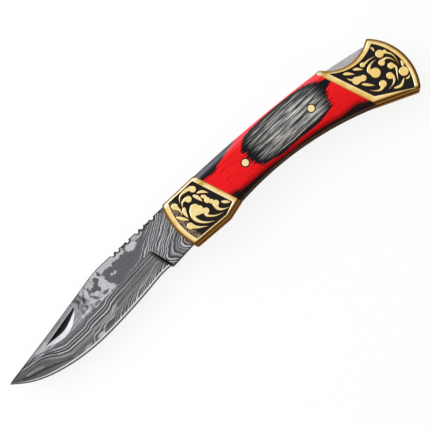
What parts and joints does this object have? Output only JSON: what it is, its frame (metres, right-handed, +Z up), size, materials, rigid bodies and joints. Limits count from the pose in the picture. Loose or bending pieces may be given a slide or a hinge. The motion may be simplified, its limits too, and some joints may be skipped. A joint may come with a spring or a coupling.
{
  "type": "folding pocket knife",
  "caption": "Lockback folding pocket knife with a drop-belly clip blade, scroll-engraved brass bolsters, dyed laminated wood scales and a sprung lock bar under a thumb scoop.",
  "frame": {"origin": "middle of the open knife's footprint on its lower rest face", "axes": "+X from the blade tip towards the butt, +Y towards the spine and back, +Z up through the handle towards the side with the nail nick"},
  "size_m": [0.2071, 0.0363, 0.0147],
  "materials": {
    "blade_steel": "etched pattern-welded steel",
    "lock_steel": "fine ground",
    "bolster_brass": "polished, with a blackened ground between raised scrolls",
    "liner_brass": "darkened",
    "pin_brass": "ground flush and polished",
    "pin_steel": "plain",
    "dyed_wood": "red, black and grey dyed laminate under a gloss finish"
  },
  "bodies": {
    "handle": {"upper_liner": "liner_brass", "lower_liner": "liner_brass", "upper_pivot_washer": "liner_brass", "lower_pivot_washer": "liner_brass", "upper_front_bolster": "bolster_brass", "lower_front_bolster": "bolster_brass", "upper_rear_bolster": "bolster_brass", "lower_rear_bolster": "bolster_brass", "upper_scale": "dyed_wood", "lower_scale": "dyed_wood", "upper_front_scale_pin": "pin_brass", "upper_rear_scale_pin": "pin_brass", "lower_front_scale_pin": "pin_brass", "lower_rear_scale_pin": "pin_brass", "upper_front_bolster_rivet": "pin_brass", "lower_front_bolster_rivet": "pin_brass", "blade_pivot_pin": "pin_steel", "lock_bar_pin": "pin_steel", "spring_pins": "pin_steel", "lock_spring": "lock_steel"},
    "blade": {"blade": "blade_steel"},
    "lock_bar": {"lock_bar": "lock_steel"}
  },
  "joints": [
    {"name": "blade_fold", "type": "hinge", "parent": "handle", "child": "blade", "pos_m": [-0.00324, 0.00643, 0.00735], "axis": [0, 0, 1], "range_deg": [0, 173]},
    {"name": "lock_release", "type": "hinge", "parent": "handle", "child": "lock_bar", "pos_m": [0.05026, 0.01432, 0.00735], "axis": [0, 0, -1], "range_deg": [-1.8, 1.5], "stiffness_Nm_per_rad": 1, "deforming": ["lock_spring"]}
  ]
}
